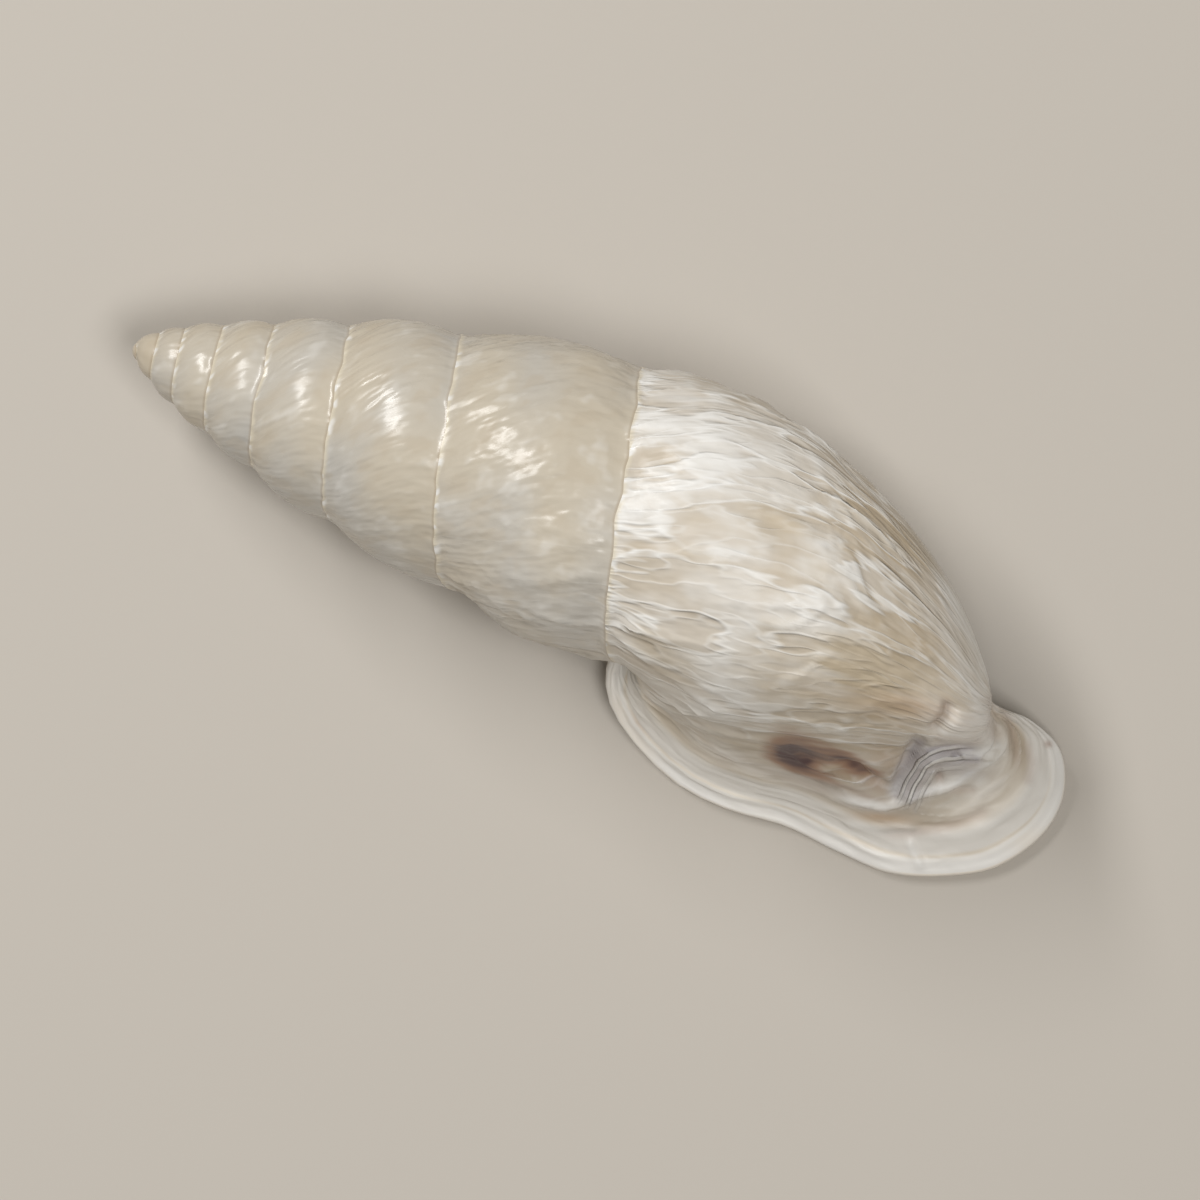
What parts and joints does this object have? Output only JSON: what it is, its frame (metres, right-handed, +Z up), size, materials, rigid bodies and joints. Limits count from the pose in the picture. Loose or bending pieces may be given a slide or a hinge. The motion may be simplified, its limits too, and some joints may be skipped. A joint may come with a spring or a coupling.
{
  "type": "land snail shell",
  "caption": "Long-spired land snail shell with rounded whorls, a wide ear-shaped mouth and a broad flared lip, lying mouth down.",
  "frame": {"origin": "middle of the outline, on the surface that the shell lies on", "axes": "+X from the apex to the base, +Y away from the lip's side, +Z up from the back of the last whorl"},
  "size_m": [0.0768, 0.031, 0.0241],
  "materials": {
    "shell": "cream-white shell, glossy on the spire and chalkier with tan streaks on the last whorl"
  },
  "bodies": {
    "root": {"shell": "shell"}
  },
  "joints": []
}
